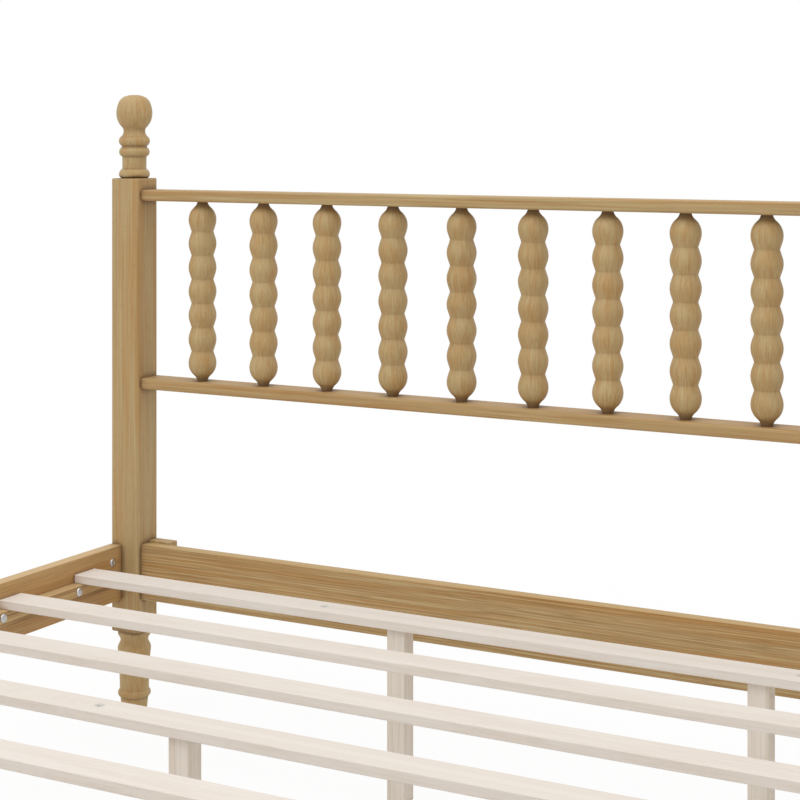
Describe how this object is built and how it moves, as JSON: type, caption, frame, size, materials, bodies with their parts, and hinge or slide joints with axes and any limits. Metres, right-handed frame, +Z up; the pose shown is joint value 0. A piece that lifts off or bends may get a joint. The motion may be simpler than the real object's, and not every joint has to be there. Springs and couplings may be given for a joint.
{
  "type": "spindle bed frame",
  "caption": "Full-size wooden bed frame with a bead-turned spindle headboard, lower matching footboard, turned feet and finials, slats and support legs.",
  "frame": {"origin": "on the floor under the middle of the bed", "axes": "+X across the bed to the right seen from the foot end, +Y along the bed to the headboard, +Z up"},
  "size_m": [1.4472, 2.0362, 0.8555],
  "materials": {
    "frame_wood": "satin clear lacquer over honey-coloured pine",
    "slat_wood": "planed, unfinished pale pine",
    "hardware_steel": "bright zinc-plated steel"
  },
  "bodies": {
    "root": {"head_post_left": "frame_wood", "head_post_right": "frame_wood", "foot_post_left": "frame_wood", "foot_post_right": "frame_wood", "head_finial_left": "frame_wood", "head_finial_right": "frame_wood", "foot_finial_left": "frame_wood", "foot_finial_right": "frame_wood", "headboard_top_rail": "frame_wood", "headboard_lower_rail": "frame_wood", "head_rail": "frame_wood", "footboard_top_rail": "frame_wood", "footboard_lower_rail": "frame_wood", "foot_rail": "frame_wood", "headboard_spindle_01": "frame_wood", "headboard_spindle_02": "frame_wood", "headboard_spindle_03": "frame_wood", "headboard_spindle_04": "frame_wood", "headboard_spindle_05": "frame_wood", "headboard_spindle_06": "frame_wood", "headboard_spindle_07": "frame_wood", "headboard_spindle_08": "frame_wood", "headboard_spindle_09": "frame_wood", "headboard_spindle_10": "frame_wood", "headboard_spindle_11": "frame_wood", "headboard_spindle_12": "frame_wood", "headboard_spindle_13": "frame_wood", "footboard_spindles": "frame_wood", "side_rail_left": "frame_wood", "side_rail_right": "frame_wood", "ledger_left": "frame_wood", "ledger_right": "frame_wood", "rail_cleats": "frame_wood", "slat_01": "slat_wood", "slat_02": "slat_wood", "slat_03": "slat_wood", "slat_04": "slat_wood", "slat_05": "slat_wood", "slat_06": "slat_wood", "slat_07": "slat_wood", "slat_08": "slat_wood", "slat_09": "slat_wood", "slat_10": "slat_wood", "slat_11": "slat_wood", "slat_12": "slat_wood", "slat_13": "slat_wood", "support_legs_1": "slat_wood", "support_legs_2": "slat_wood", "support_legs_3": "slat_wood", "support_legs_4": "slat_wood", "support_legs_5": "slat_wood", "finial_studs": "hardware_steel", "leg_studs": "hardware_steel", "slat_insert_nuts": "hardware_steel", "cleat_screws": "hardware_steel", "side_rail_bolts": "hardware_steel", "barrel_nuts": "hardware_steel", "ledger_bolts_left": "hardware_steel", "ledger_bolts_right": "hardware_steel"}
  },
  "joints": []
}
